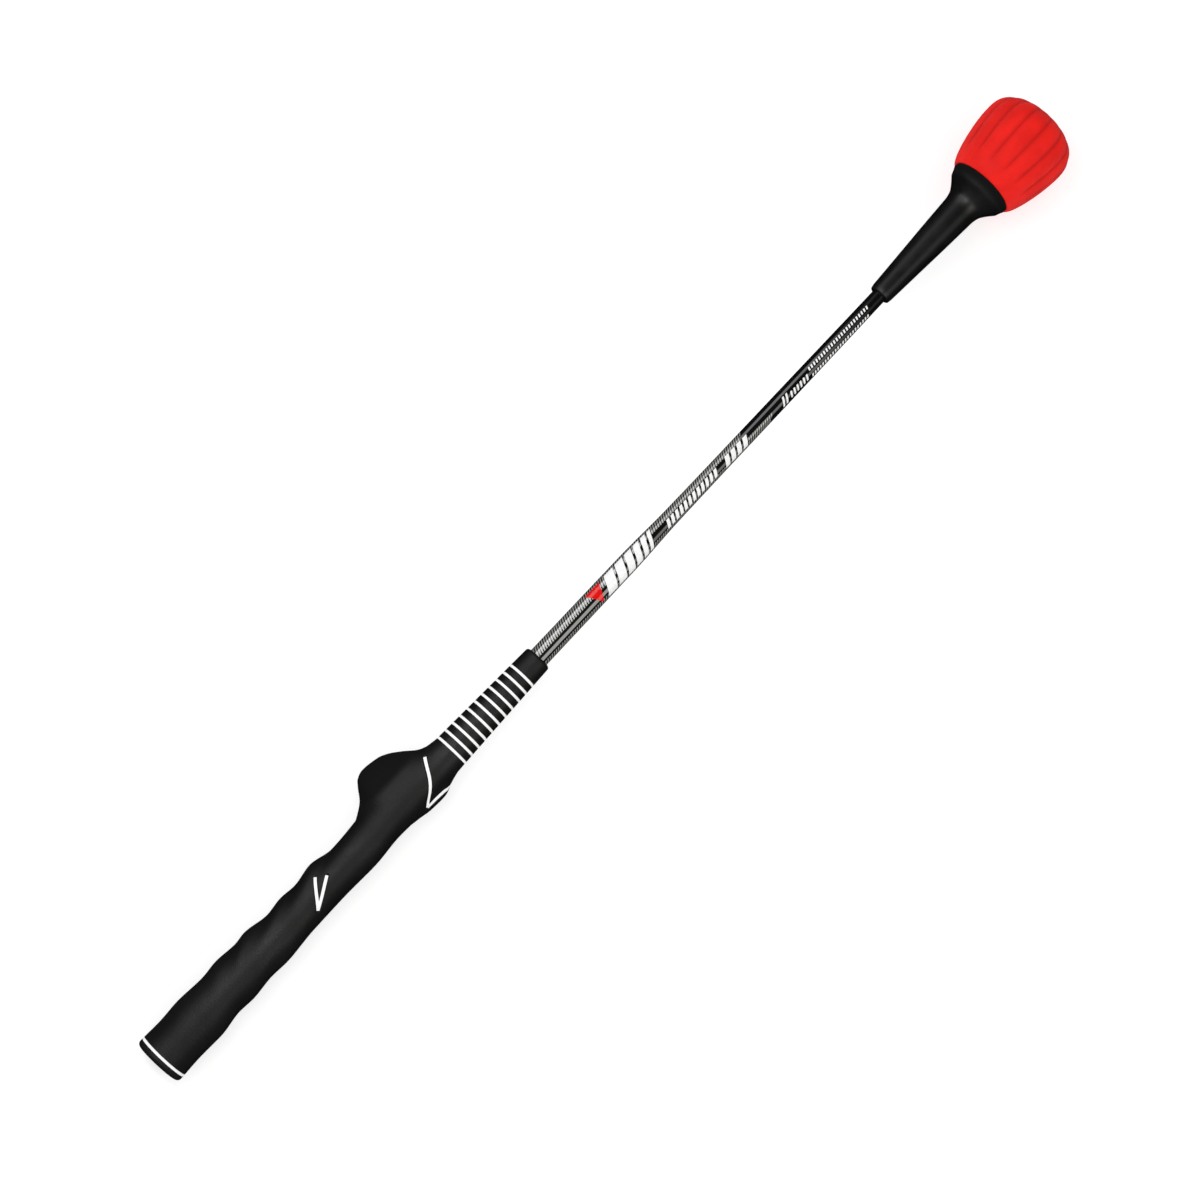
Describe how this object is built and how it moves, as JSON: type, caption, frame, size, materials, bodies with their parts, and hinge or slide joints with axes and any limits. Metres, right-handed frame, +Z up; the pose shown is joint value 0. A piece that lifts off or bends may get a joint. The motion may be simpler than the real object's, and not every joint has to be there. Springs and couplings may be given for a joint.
{
  "type": "golf swing trainer stick",
  "caption": "Short whippy practice club: moulded training grip with a thumb ledge, tapered fibreglass shaft, flared neck and a weighted ribbed head.",
  "frame": {"origin": "on the shaft axis, in the plane of the butt face", "axes": "+X along the shaft axis from the butt to the head's crown, +Y on the side of the thumb ledge, +Z up when the stick lies on its side"},
  "size_m": [0.641, 0.0503, 0.0502],
  "materials": {
    "grip_rubber": "matt black moulded rubber, faintly sheened",
    "tape": "plain paper-backed tape",
    "shaft_lacquer": "gloss black lacquer over wound fibreglass, fine diagonal weave",
    "neck_plastic": "satin black moulded plastic",
    "steel": "turned, zinc plated",
    "core_plastic": "plain moulded plastic",
    "weight_iron": "plain, oiled",
    "cover_rubber": "matt red moulded rubber",
    "white_paint": "flat white paint filled into grooves and printed on the shaft",
    "red_print": "red print under lacquer"
  },
  "bodies": {
    "handle": {"grip_sleeve": "grip_rubber", "end_cap": "grip_rubber", "grip_tape": "tape", "shaft": "shaft_lacquer"},
    "head": {"neck": "neck_plastic", "shaft_stud": "steel", "head_core": "core_plastic", "head_weight": "weight_iron", "washer": "steel", "lock_nut": "steel", "core_lid": "core_plastic", "head_cover": "cover_rubber"}
  },
  "joints": [
    {"name": "shaft_flex", "type": "hinge", "parent": "handle", "child": "head", "pos_m": [0.312, 0, 0], "axis": [0, 0, 1], "range_deg": [-15, 15], "stiffness_Nm_per_rad": 80, "deforming": ["shaft"]}
  ]
}
